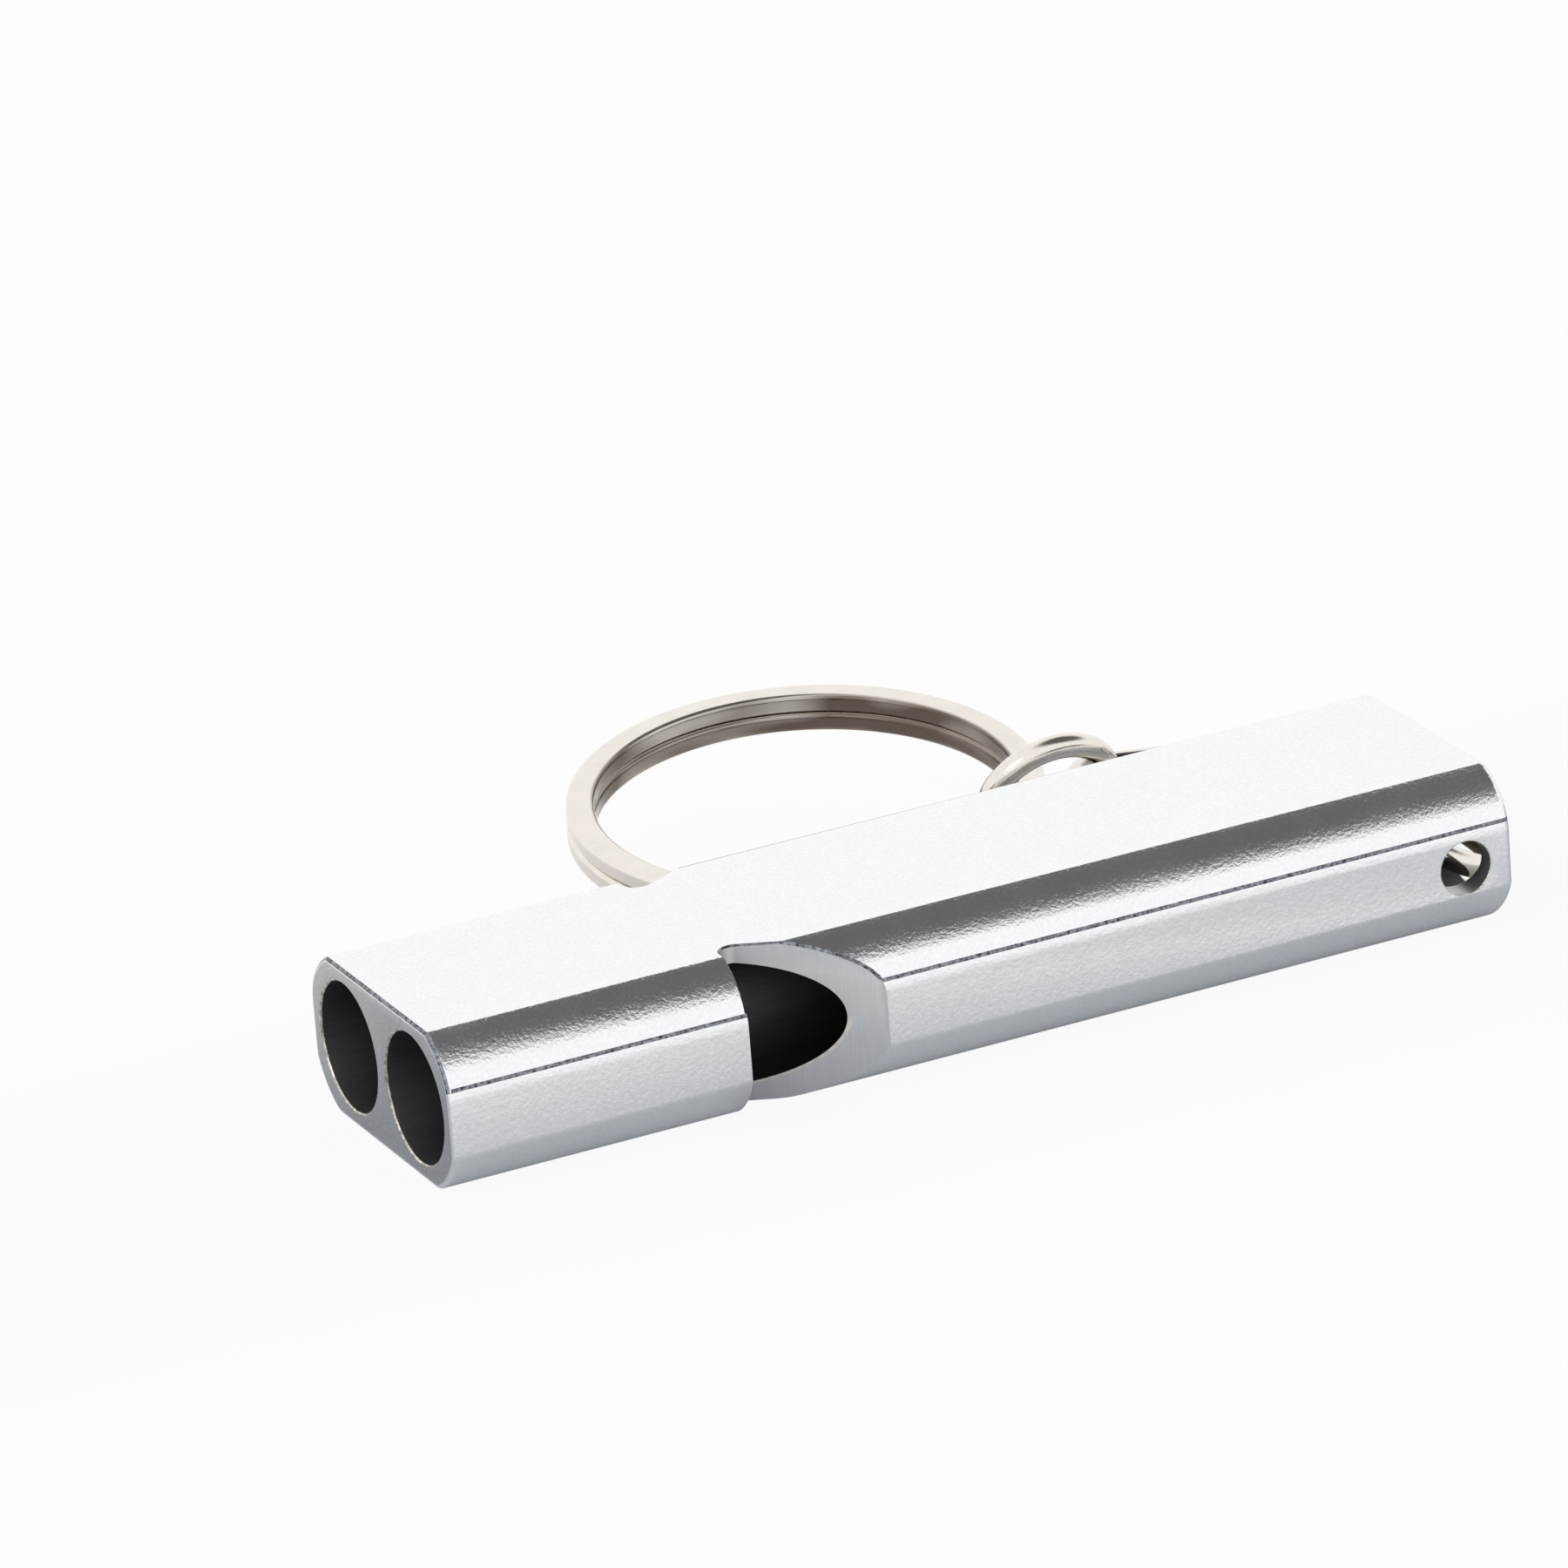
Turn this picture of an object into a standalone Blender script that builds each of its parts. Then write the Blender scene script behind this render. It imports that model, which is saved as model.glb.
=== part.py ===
"""Twin-bore survival whistle with a chain of wire rings and a split key ring.

X runs along the whistle with the mouth at -X, Y across it and Z up.
The origin is the middle of the body's underside.
"""

import math

import bmesh
import bpy
import numpy as np
from mathutils import Matrix, Vector

MM = 0.001

# Body: two bores side by side, with the walls round them
BODY_LENGTH = 60.0 * MM
BORE_DIAMETER = 6.8 * MM
WEB_WALL = 1.12 * MM
SIDE_WALL = 0.92 * MM
TOP_WALL = 0.825 * MM
CORNER_EXTRA = 0.36 * MM
EDGE_BREAK = 0.22 * MM
BORE_CHAMFER = 0.14 * MM

# Sound windows: a square wall towards the mouth and a ramp towards the tail
WINDOW_FROM_MOUTH = 16.43 * MM
WINDOW_LENGTH = 7.7 * MM
WINDOW_DEPTH = 3.85 * MM

# Cross hole at the tail
HOLE_DIAMETER = 2.86 * MM
HOLE_FROM_TAIL = 2.78 * MM
HOLE_BELOW_MIDDLE = 0.26 * MM

# Plugs that make the windways, and stoppers that tune the two bores
PLUG_RECESS = 6.8 * MM
PLUG_FIT = 0.3 * MM
WINDWAY_HEIGHT = 1.5 * MM
STOPPER_LENGTH = 4.0 * MM
STOPPER_FROM_TAIL_NEAR = 8.0 * MM
STOPPER_FROM_TAIL_FAR = 11.0 * MM

# Wire rings and oval links, by wire diameter and mean size
RING_WIRE = 1.3 * MM
TAIL_RING_RADIUS = 3.61 * MM
SMALL_RING_RADIUS = 3.55 * MM
LINK_WIRE = 1.0 * MM
LINK_END_RADIUS = 1.79 * MM
FIRST_LINK_STRAIGHT = 8.0 * MM
SECOND_LINK_STRAIGHT = 12.9 * MM

# Split key ring of flat wire, with the short climb where one turn passes the other
KEY_RING_RADIUS = 11.85 * MM
KEY_WIRE_WIDTH = 1.5 * MM
KEY_WIRE_HEIGHT = 0.85 * MM
KEY_TURN_GAP = 0.46 * MM
KEY_CLIMB_ANGLE = 16.0
KEY_CLIMB_PLACE = 90.0

# Free play between each ring and the wire that it hangs on
FIRST_LINK_PLAY = 0.9 * MM
SECOND_LINK_PLAY = 0.69 * MM
SMALL_RING_PLAY = 0.46 * MM

# Where the tail ring's wire lies in the cross hole: its gap to the hole's mouth side, and its lift
TAIL_RING_CLEAR = 0.43 * MM
TAIL_RING_LIFT = 0.26 * MM

# Where the key ring's wire crosses the small ring's middle, along and across it
KEY_WIRE_ALONG = 1.03 * MM
KEY_WIRE_ACROSS = 0.74 * MM

# How each ring lies: its turn from +X, its climb and its roll, in degrees
TAIL_RING_LIE = (2.4, -28.5, 9.8)
FIRST_LINK_LIE = (89.9, 1.1, 90.7)
SECOND_LINK_LIE = (177.3, 6.3, -6.7)
SMALL_RING_LIE = (172.5, -12.1, -117.1)
KEY_RING_LIE = (145.2, 1.9, -4.7)

# Where the first link hangs, in degrees round the tail ring from its far end
FIRST_LINK_AT = 71.0

# Facets
CORNER_STEPS = 10
BORE_SIDES = 48
HOLE_SIDES = 28
RING_STEPS = 56
WIRE_SIDES = 12
LINK_ARC_STEPS = 12
LINK_BEVEL_STEPS = 3
KEY_STEPS_PER_TURN = 48

# Sizes that follow from the ones above
BORE_RADIUS = BORE_DIAMETER / 2
BORE_OFFSET = BORE_RADIUS + WEB_WALL / 2
HALF_WIDTH = BORE_OFFSET + BORE_RADIUS + SIDE_WALL
BODY_HEIGHT = BORE_DIAMETER + 2 * TOP_WALL
MIDDLE = BODY_HEIGHT / 2
CORNER_RADIUS = BORE_RADIUS + max(SIDE_WALL, TOP_WALL) + CORNER_EXTRA
MOUTH = -BODY_LENGTH / 2
TAIL = BODY_LENGTH / 2
WINDOW_WALL = MOUTH + WINDOW_FROM_MOUTH
HOLE_CENTRE = Vector((TAIL - HOLE_FROM_TAIL, 0, MIDDLE - HOLE_BELOW_MIDDLE))
PLUG_RADIUS = BORE_RADIUS - PLUG_FIT
PAST = 2 * MM
ACROSS_BODY = Vector((0, 1, 0))

# Turns that carry an outline's own axes, or a cylinder's, into the body's frame
OUTLINE_ACROSS_X = Matrix(((0, 0, 1, 0), (1, 0, 0, 0), (0, 1, 0, 0), (0, 0, 0, 1)))
CYLINDER_ALONG_X = Matrix.Rotation(math.radians(90), 4, "Y")
CYLINDER_ALONG_Y = Matrix.Rotation(math.radians(-90), 4, "X")


def clear_scene():
    """Remove every object and collection of the open file."""
    for item in list(bpy.data.objects):
        bpy.data.objects.remove(item, do_unlink=True)
    for group in list(bpy.data.collections):
        bpy.data.collections.remove(group)


def new_collection(name):
    """Make a collection in the scene."""
    group = bpy.data.collections.new(name)
    bpy.context.scene.collection.children.link(group)
    return group


def metal(name, colour, roughness):
    """Make a plain metal."""
    material = bpy.data.materials.new(name)
    material.use_nodes = True
    shader = material.node_tree.nodes["Principled BSDF"]
    shader.inputs["Base Color"].default_value = (*colour, 1)
    shader.inputs["Metallic"].default_value = 1.0
    shader.inputs["Roughness"].default_value = roughness
    return material


def place(name, mesh, matrix, group, material=None):
    """Put a mesh in the scene as a named object."""
    item = bpy.data.objects.new(name, mesh)
    item.matrix_world = matrix
    group.objects.link(item)
    if material:
        mesh.materials.append(material)
    return item


def smooth(mesh, angle=35.0):
    """Shade a round piece smooth, with its real edges kept sharp."""
    mesh.shade_smooth()
    mesh.set_sharp_from_angle(angle=math.radians(angle))


def curve_to_mesh(curve, name):
    """Turn a curve into a welded mesh."""
    holder = bpy.data.objects.new(name, curve)
    bpy.context.scene.collection.objects.link(holder)
    bpy.context.view_layer.update()
    evaluated = holder.evaluated_get(bpy.context.evaluated_depsgraph_get())
    mesh = bpy.data.meshes.new_from_object(evaluated)
    mesh.name = name
    bpy.data.objects.remove(holder, do_unlink=True)
    work = bmesh.new()
    work.from_mesh(mesh)
    bmesh.ops.remove_doubles(work, verts=work.verts, dist=0.000001)
    bmesh.ops.recalc_face_normals(work, faces=work.faces)
    work.to_mesh(mesh)
    work.free()
    return mesh


def poly_spline(curve, points, closed):
    """Add a straight-line spline through points to a curve."""
    spline = curve.splines.new("POLY")
    spline.points.add(len(points) - 1)
    for spot, point in zip(spline.points, points):
        spot.co = (*Vector(point).to_3d(), 1)
    spline.use_cyclic_u = closed


def outline_mesh(name, points, thickness):
    """Fill a flat outline and give it a thickness along its own Z."""
    curve = bpy.data.curves.new(name, "CURVE")
    curve.dimensions = "2D"
    curve.fill_mode = "BOTH"
    curve.extrude = thickness / 2
    poly_spline(curve, points, True)
    return curve_to_mesh(curve, name)


def cylinder_mesh(name, radius, length, sides):
    """Make a cylinder along its own Z, centred on its middle."""
    work = bmesh.new()
    bmesh.ops.create_cone(work, cap_ends=True, segments=sides, radius1=radius, radius2=radius, depth=length)
    mesh = bpy.data.meshes.new(name)
    work.to_mesh(mesh)
    work.free()
    return mesh


def turned_mesh(name, profile, sides):
    """Turn a profile of radius and height about its own Z."""
    mesh = bpy.data.meshes.new(name + "_profile")
    edges = [(index, index + 1) for index in range(len(profile) - 1)]
    mesh.from_pydata([(radius, 0, height) for radius, height in profile], edges, [])
    holder = bpy.data.objects.new(name, mesh)
    bpy.context.scene.collection.objects.link(holder)
    screw = holder.modifiers.new("turn", "SCREW")
    screw.steps = sides
    screw.render_steps = sides
    screw.use_merge_vertices = True
    screw.merge_threshold = 0.000001
    bpy.context.view_layer.update()
    evaluated = holder.evaluated_get(bpy.context.evaluated_depsgraph_get())
    turned = bpy.data.meshes.new_from_object(evaluated)
    turned.name = name
    bpy.data.objects.remove(holder, do_unlink=True)
    return turned


def cut(target, cutter):
    """Cut one object away from another."""
    cutter.hide_render = True
    cutter.display_type = "WIRE"
    boolean = target.modifiers.new(cutter.name, "BOOLEAN")
    boolean.operation = "DIFFERENCE"
    boolean.solver = "EXACT"
    boolean.object = cutter


def arc(centre_y, centre_z, radius, start, end, steps):
    """List points along an arc, from one angle to another."""
    points = []
    for step in range(steps + 1):
        angle = start + (end - start) * step / steps
        points.append((centre_y + radius * math.cos(angle), centre_z + radius * math.sin(angle)))
    return points


def body_outline():
    """Follow the section: flats at the top, underside and sides, arcs round each bore between them."""
    to_side = math.acos((HALF_WIDTH - BORE_OFFSET) / CORNER_RADIUS)
    to_top = math.asin(MIDDLE / CORNER_RADIUS)
    turn = math.pi
    points = arc(BORE_OFFSET, MIDDLE, CORNER_RADIUS, to_side, to_top, CORNER_STEPS)
    points += arc(-BORE_OFFSET, MIDDLE, CORNER_RADIUS, turn - to_top, turn - to_side, CORNER_STEPS)
    points += arc(-BORE_OFFSET, MIDDLE, CORNER_RADIUS, turn + to_side, turn + to_top, CORNER_STEPS)
    points += arc(BORE_OFFSET, MIDDLE, CORNER_RADIUS, -to_top, -to_side, CORNER_STEPS)
    return points


def bore_profile():
    """Follow the bore from end to end, with a cone at each rim that runs on past the end face."""
    straight = BODY_LENGTH / 2 - BORE_CHAMFER
    outer = BODY_LENGTH / 2 + BORE_CHAMFER
    flare = BORE_RADIUS + 2 * BORE_CHAMFER
    half = [(0, outer), (flare, outer), (BORE_RADIUS, straight)]
    return half + [(radius, -height) for radius, height in reversed(half)]


def cut_bore(body, side, cutters):
    """Drill one bore from end to end and break its two rims."""
    name = "bore_near" if side < 0 else "bore_far"
    axis = Matrix.Translation((0, side * BORE_OFFSET, MIDDLE))
    drill = turned_mesh(name, bore_profile(), BORE_SIDES)
    cut(body, place(name, drill, axis @ CYLINDER_ALONG_X, cutters))


def cut_window(body, side, cutters):
    """Cut one sound window: straight down at its mouth end, then a ramp out to the side."""
    name = "window_near" if side < 0 else "window_far"
    slope = WINDOW_DEPTH / WINDOW_LENGTH
    ramp_end = WINDOW_WALL + WINDOW_LENGTH + PAST / slope
    points = [
        (WINDOW_WALL, HALF_WIDTH - WINDOW_DEPTH),
        (ramp_end, HALF_WIDTH + PAST),
        (WINDOW_WALL, HALF_WIDTH + PAST),
    ]
    if side < 0:
        points = [(x, -y) for x, y in reversed(points)]
    wedge = outline_mesh(name, points, BODY_HEIGHT + 2 * PAST)
    cut(body, place(name, wedge, Matrix.Translation((0, 0, MIDDLE)), cutters))


def make_body(parts, cutters, material):
    """Make the drawn twin tube with its windows and cross hole."""
    mesh = outline_mesh("whistle_body", body_outline(), BODY_LENGTH)
    body = place("whistle_body", mesh, OUTLINE_ACROSS_X, parts, material)
    edges = body.modifiers.new("edge_break", "BEVEL")
    edges.width = EDGE_BREAK
    edges.segments = 2
    edges.limit_method = "ANGLE"
    edges.angle_limit = math.radians(60)
    for side in (-1, 1):
        cut_bore(body, side, cutters)
        cut_window(body, side, cutters)
    drill = cylinder_mesh("cross_hole", HOLE_DIAMETER / 2, 2 * (HALF_WIDTH + PAST), HOLE_SIDES)
    cut(body, place("cross_hole", drill, Matrix.Translation(HOLE_CENTRE) @ CYLINDER_ALONG_Y, cutters))
    smooth(mesh, 15.0)


def plug_outline(side):
    """Follow the plug's section: round to fit the bore, with a flat that leaves the windway."""
    flat = BORE_RADIUS - WINDWAY_HEIGHT
    half_angle = math.acos(flat / PLUG_RADIUS)
    points = arc(0, 0, PLUG_RADIUS, half_angle, 2 * math.pi - half_angle, BORE_SIDES - 8)
    return points if side > 0 else [(-y, z) for y, z in reversed(points)]


def make_plug(side, parts, material):
    """Make a plug that ends level with the window's wall."""
    name = "fipple_plug_near" if side < 0 else "fipple_plug_far"
    length = WINDOW_FROM_MOUTH - PLUG_RECESS
    mesh = outline_mesh(name, plug_outline(side), length)
    smooth(mesh)
    spot = Matrix.Translation((WINDOW_WALL - length / 2, side * BORE_OFFSET, MIDDLE))
    place(name, mesh, spot @ OUTLINE_ACROSS_X, parts, material)


def make_stopper(side, from_tail, parts, material):
    """Make the stopper that closes one bore short of the cross hole."""
    name = "tail_stopper_near" if side < 0 else "tail_stopper_far"
    mesh = cylinder_mesh(name, PLUG_RADIUS, STOPPER_LENGTH, BORE_SIDES)
    smooth(mesh)
    spot = Matrix.Translation((TAIL - from_tail - STOPPER_LENGTH / 2, side * BORE_OFFSET, MIDDLE))
    item = place(name, mesh, spot @ CYLINDER_ALONG_X, parts, material)
    edges = item.modifiers.new("edge_break", "BEVEL")
    edges.width = EDGE_BREAK
    edges.segments = 1
    edges.limit_method = "ANGLE"
    edges.angle_limit = math.radians(60)


class Hung:
    """One ring of the chain: the point that it turns on, how it lies, and its size."""

    def __init__(self, hook, hook_axis, clear, reach, lie):
        turn, climb, roll = (math.radians(angle) for angle in lie)
        flat = math.cos(climb)
        level = Vector((-math.sin(turn), math.cos(turn), 0))
        self.along = Vector((flat * math.cos(turn), flat * math.sin(turn), math.sin(climb)))
        self.across = math.cos(roll) * level + math.sin(roll) * self.along.cross(level)
        self.hook = hook
        self.hook_axis = hook_axis
        self.reach = reach
        self.centre = hook + (reach - clear) * self.along

    def matrix(self):
        """Carry the ring's own frame into the world, with its origin on the hook."""
        normal = self.along.cross(self.across)
        turn = Matrix((self.along, self.across, normal)).transposed().to_4x4()
        return Matrix.Translation(self.hook) @ turn

    def own_centre(self):
        """Give the ring's centre in its own frame."""
        return self.matrix().inverted() @ self.centre

    def wire_at(self, angle):
        """Give a point on the wire and its tangent, by the angle round the centre from the far end."""
        around = math.radians(angle)
        outward = math.cos(around) * self.along + math.sin(around) * self.across
        tangent = math.cos(around) * self.across - math.sin(around) * self.along
        return self.centre + self.reach * outward, tangent


def lay_chain():
    """Work out how the rings hang on each other, from the cross hole to the key ring."""
    set_back = (HOLE_DIAMETER - RING_WIRE) / 2 - TAIL_RING_CLEAR
    in_hole = HOLE_CENTRE + Vector((-set_back, 0, TAIL_RING_LIFT))
    tail_ring = Hung(in_hole, ACROSS_BODY, 0, TAIL_RING_RADIUS, TAIL_RING_LIE)
    unlike_wires = (RING_WIRE + LINK_WIRE) / 2
    first_link = Hung(
        *tail_ring.wire_at(FIRST_LINK_AT),
        unlike_wires + FIRST_LINK_PLAY,
        FIRST_LINK_STRAIGHT / 2 + LINK_END_RADIUS,
        FIRST_LINK_LIE,
    )
    second_link = Hung(
        *first_link.wire_at(0),
        LINK_WIRE + SECOND_LINK_PLAY,
        SECOND_LINK_STRAIGHT / 2 + LINK_END_RADIUS,
        SECOND_LINK_LIE,
    )
    small_ring = Hung(
        *second_link.wire_at(0),
        unlike_wires + SMALL_RING_PLAY,
        SMALL_RING_RADIUS,
        SMALL_RING_LIE,
    )
    in_ring = small_ring.centre + KEY_WIRE_ALONG * small_ring.along + KEY_WIRE_ACROSS * small_ring.across
    key_ring = Hung(in_ring, ACROSS_BODY, 0, KEY_RING_RADIUS, KEY_RING_LIE)
    return tail_ring, first_link, second_link, small_ring, key_ring


def make_round_ring(name, hung, parts, material):
    """Make a round wire ring."""
    bpy.ops.mesh.primitive_torus_add(
        major_segments=RING_STEPS, minor_segments=WIRE_SIDES, major_radius=hung.reach, minor_radius=RING_WIRE / 2
    )
    starter = bpy.context.object
    mesh = starter.data
    bpy.data.objects.remove(starter, do_unlink=True)
    mesh.name = name
    mesh.transform(Matrix.Translation(hung.own_centre()))
    smooth(mesh)
    place(name, mesh, hung.matrix(), parts, material)


def make_link(name, hung, parts, material):
    """Make an oval link of round wire."""
    half = hung.reach - LINK_END_RADIUS
    quarter = math.pi / 2
    path = arc(half, 0, LINK_END_RADIUS, -quarter, quarter, LINK_ARC_STEPS)
    path += arc(-half, 0, LINK_END_RADIUS, quarter, 3 * quarter, LINK_ARC_STEPS)
    curve = bpy.data.curves.new(name, "CURVE")
    curve.dimensions = "3D"
    curve.bevel_depth = LINK_WIRE / 2
    curve.bevel_resolution = LINK_BEVEL_STEPS
    centre = hung.own_centre()
    poly_spline(curve, [centre + Vector(point).to_3d() for point in path], True)
    mesh = curve_to_mesh(curve, name)
    smooth(mesh)
    place(name, mesh, hung.matrix(), parts, material)


def key_wire_path(centre):
    """Follow two turns of wire: a low turn, a short climb past the wire's own start, then a high turn."""
    step_up = KEY_WIRE_HEIGHT + KEY_TURN_GAP
    steps = 2 * KEY_STEPS_PER_TURN
    sweep = 720.0 - 2 * KEY_CLIMB_ANGLE
    points = []
    for step in range(steps + 1):
        angle = KEY_CLIMB_ANGLE + sweep * step / steps
        rise = (angle - 360.0 + KEY_CLIMB_ANGLE) / (2 * KEY_CLIMB_ANGLE)
        rise = min(max(rise, 0.0), 1.0)
        height = step_up * (rise * rise * (3 - 2 * rise) - 0.5)
        around = math.radians(KEY_CLIMB_PLACE + angle)
        radius = KEY_RING_RADIUS
        points.append(centre + Vector((radius * math.cos(around), radius * math.sin(around), height)))
    return points


def key_wire_section():
    """Follow the flat wire's section, with its width along X and its height along Y."""
    corner = KEY_WIRE_HEIGHT / 4
    across = KEY_WIRE_WIDTH / 2 - corner
    up = KEY_WIRE_HEIGHT / 2 - corner
    quarter = math.pi / 2
    points = []
    for index, (side_x, side_y) in enumerate(((1, 1), (-1, 1), (-1, -1), (1, -1))):
        points += arc(side_x * across, side_y * up, corner, index * quarter, (index + 1) * quarter, 2)
    return points


def least_gap(mesh, path):
    """Measure the least gap between the key ring's two turns, on the points of its surface."""
    spots = np.array([vertex.co[:] for vertex in mesh.vertices])
    steps = np.array([point[:] for point in path])
    nearest = np.array([np.argmin(((steps - spot) ** 2).sum(axis=1)) for spot in spots])
    least = math.inf
    for spot, step in zip(spots, nearest):
        others = spots[np.abs(nearest - step) > KEY_STEPS_PER_TURN // 2]
        least = min(least, float(np.sqrt(((others - spot) ** 2).sum(axis=1)).min()))
    return least


def make_key_ring(hung, parts, material):
    """Make the split key ring as one unbroken wire."""
    section = bpy.data.curves.new("key_wire_section", "CURVE")
    section.dimensions = "2D"
    poly_spline(section, key_wire_section(), True)
    section_holder = bpy.data.objects.new("key_wire_section", section)
    bpy.context.scene.collection.objects.link(section_holder)
    curve = bpy.data.curves.new("key_ring", "CURVE")
    curve.dimensions = "3D"
    curve.twist_mode = "Z_UP"
    curve.bevel_mode = "OBJECT"
    curve.bevel_object = section_holder
    curve.use_fill_caps = True
    path = key_wire_path(hung.own_centre())
    poly_spline(curve, path, False)
    mesh = curve_to_mesh(curve, "key_ring")
    bpy.data.objects.remove(section_holder, do_unlink=True)
    print("key_ring: least gap between its turns is %.3f mm" % (least_gap(mesh, path) / MM))
    smooth(mesh)
    place("key_ring", mesh, hung.matrix(), parts, material)


def rounded(vector):
    """Write a vector with six decimals."""
    return "(%.6f, %.6f, %.6f)" % vector[:]


def main():
    """Build the whistle and its chain."""
    clear_scene()
    parts = new_collection("survival_whistle")
    cutters = new_collection("survival_whistle_cutters")
    cutters.hide_render = True
    blasted = metal("blasted_aluminium", (0.78, 0.79, 0.81), 0.38)
    turned = metal("turned_aluminium", (0.42, 0.43, 0.45), 0.45)
    nickel = metal("nickel_plated_steel", (0.72, 0.69, 0.64), 0.12)
    make_body(parts, cutters, blasted)
    for side, from_tail in ((-1, STOPPER_FROM_TAIL_NEAR), (1, STOPPER_FROM_TAIL_FAR)):
        make_plug(side, parts, turned)
        make_stopper(side, from_tail, parts, turned)
    chain = lay_chain()
    tail_ring, first_link, second_link, small_ring, key_ring = chain
    make_round_ring("tail_ring", tail_ring, parts, nickel)
    make_link("chain_link_first", first_link, parts, nickel)
    make_link("chain_link_second", second_link, parts, nickel)
    make_round_ring("small_ring", small_ring, parts, nickel)
    make_key_ring(key_ring, parts, nickel)
    for name, hung in zip(("tail_ring", "first_link", "second_link", "small_ring", "key_ring"), chain):
        print("%s turns at %s along %s" % (name, rounded(hung.hook), rounded(hung.hook_axis)))


main()
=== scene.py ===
"""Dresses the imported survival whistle: finer shapes, finishes, stage and camera."""

import math

import bmesh
import bpy
import numpy as np
from bpy.props import FloatProperty, FloatVectorProperty, PointerProperty
from bpy.types import Operator, Panel, PropertyGroup
from mathutils import Matrix, Vector


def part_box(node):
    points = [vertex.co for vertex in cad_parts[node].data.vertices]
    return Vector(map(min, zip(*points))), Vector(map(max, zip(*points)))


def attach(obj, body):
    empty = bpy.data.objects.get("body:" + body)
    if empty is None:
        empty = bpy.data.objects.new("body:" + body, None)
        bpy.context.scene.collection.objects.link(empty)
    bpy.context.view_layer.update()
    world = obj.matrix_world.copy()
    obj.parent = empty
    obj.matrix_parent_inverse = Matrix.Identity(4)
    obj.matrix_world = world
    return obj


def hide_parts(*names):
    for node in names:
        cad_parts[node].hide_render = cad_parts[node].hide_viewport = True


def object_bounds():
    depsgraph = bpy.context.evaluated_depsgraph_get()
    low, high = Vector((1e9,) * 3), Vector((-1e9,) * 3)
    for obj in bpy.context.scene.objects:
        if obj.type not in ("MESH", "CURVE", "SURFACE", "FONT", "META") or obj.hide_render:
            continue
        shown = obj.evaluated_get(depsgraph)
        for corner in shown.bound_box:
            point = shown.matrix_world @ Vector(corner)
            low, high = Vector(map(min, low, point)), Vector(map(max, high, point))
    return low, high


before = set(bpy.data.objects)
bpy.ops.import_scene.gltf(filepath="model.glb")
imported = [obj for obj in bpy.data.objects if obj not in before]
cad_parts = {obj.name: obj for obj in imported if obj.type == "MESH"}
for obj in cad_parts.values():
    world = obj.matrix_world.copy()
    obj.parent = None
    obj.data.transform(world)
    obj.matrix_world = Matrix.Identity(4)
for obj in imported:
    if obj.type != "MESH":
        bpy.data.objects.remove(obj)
cad_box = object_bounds()

bl_info = {
    "name": "Survival Whistle",
    "version": (1, 0, 0),
    "blender": (4, 5, 0),
    "location": "View3D > Sidebar > Whistle",
    "description": "Builds a twin-bore survival whistle with its chain and split key ring",
    "category": "Object",
}

MM = 0.001
BODY_LOW, BODY_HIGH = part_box("whistle_body")
BODY_MIDDLE = (BODY_LOW.z + BODY_HIGH.z) / 2

# A dark broken line is painted into the colour of the body's edge in a band back from the mouth, and a
# painted dark reflection line runs at a height above its middle
DARK_MOUTH_EDGE = (0.01 * MM, 0.15 * MM)
DARK_LINE_HEIGHTS = (1.68 * MM, 1.88 * MM)

# Small facts of the other pieces
PRESS_FIT = 0.02 * MM
PLUG_ROUNDS = (0.1 * MM, 0.1 * MM)
DIMPLE_RADIUS = 0.6 * MM
DIMPLE_POINT = DIMPLE_RADIUS / 8
KEY_CLIMB = math.radians(16)
SEAM_THICKNESS = 0.86
INNER_SHARE = 0.7

# How finely round forms are drawn
SECTION_STEPS = (28, 28, 5)
EDGE_STEPS = 6
RIM_STEPS = 4
WINDOW_STEPS = 12
BORE_SIDES = 128
HOLE_SIDES = 72
PLUG_SIDES = 96
WIRE_SIDES = 40
# Not a multiple of 4, so that no point lies midway between a link's two ends
RING_POINTS = 322
KEY_POINTS = 640
KEY_CORNER_POINTS = 6
MERGE_DISTANCE = 0.000002

# Angles in degrees above which an edge is shaded sharp
BODY_SHARP = 20
PLUG_SHARP = 25
STOPPER_SHARP = 30
WIRE_SHARP = 40

# Camera, fitted to the photograph's view
CAMERA_PLACE = (-0.22637, -0.47758, 0.22035)
CAMERA_FORWARD = (0.38885, 0.84580, -0.36525)
CAMERA_ROLL = 4.48
CAMERA_LENS = 258.41
CAMERA_SENSOR = 36.0
CAMERA_NEAR = 0.01

# White room with a black card overhead, by its direction, its reach and its level
ROOM_LEVEL = 1.0
OVERHEAD_CARD = ((0.43, -0.06, 0.9), (0.36, 0.68), 0.13)
SOFT_BOX_WATTS = 0.45
SOFT_BOX_PLACE = (-0.75, -0.45, 0.6)
SOFT_BOX_SIZE = (0.5, 0.4)

# Board: how far from the middle its painted shadow ends and its white begins in reflections, and how white it
# is seen and mirrored
BOARD_REACH = 3.0
BOARD_DROP = 0.03 * MM
BOARD_PAINTED_SHADOW = (3 * MM, 27 * MM)
BOARD_WHITE = (25 * MM, 41 * MM)
WHITE_SEEN = 0.93
WHITE_MIRRORED = 0.1

# Settings that many nodes share
ADD, SUBTRACT, MULTIPLY, DIVIDE, MAXIMUM, ABSOLUTE, SIGN, SINE, COSINE = (
    {"operation": name}
    for name in ("ADD", "SUBTRACT", "MULTIPLY", "DIVIDE", "MAXIMUM", "ABSOLUTE", "SIGN", "SINE", "COSINE")
)
SMOOTH = {"interpolation_type": "SMOOTHSTEP"}
COLOURS = {"data_type": "RGBA"}

# Most of a noise's values lie in this range
NOISE_LOW, NOISE_HIGH = 0.3, 0.7


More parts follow.
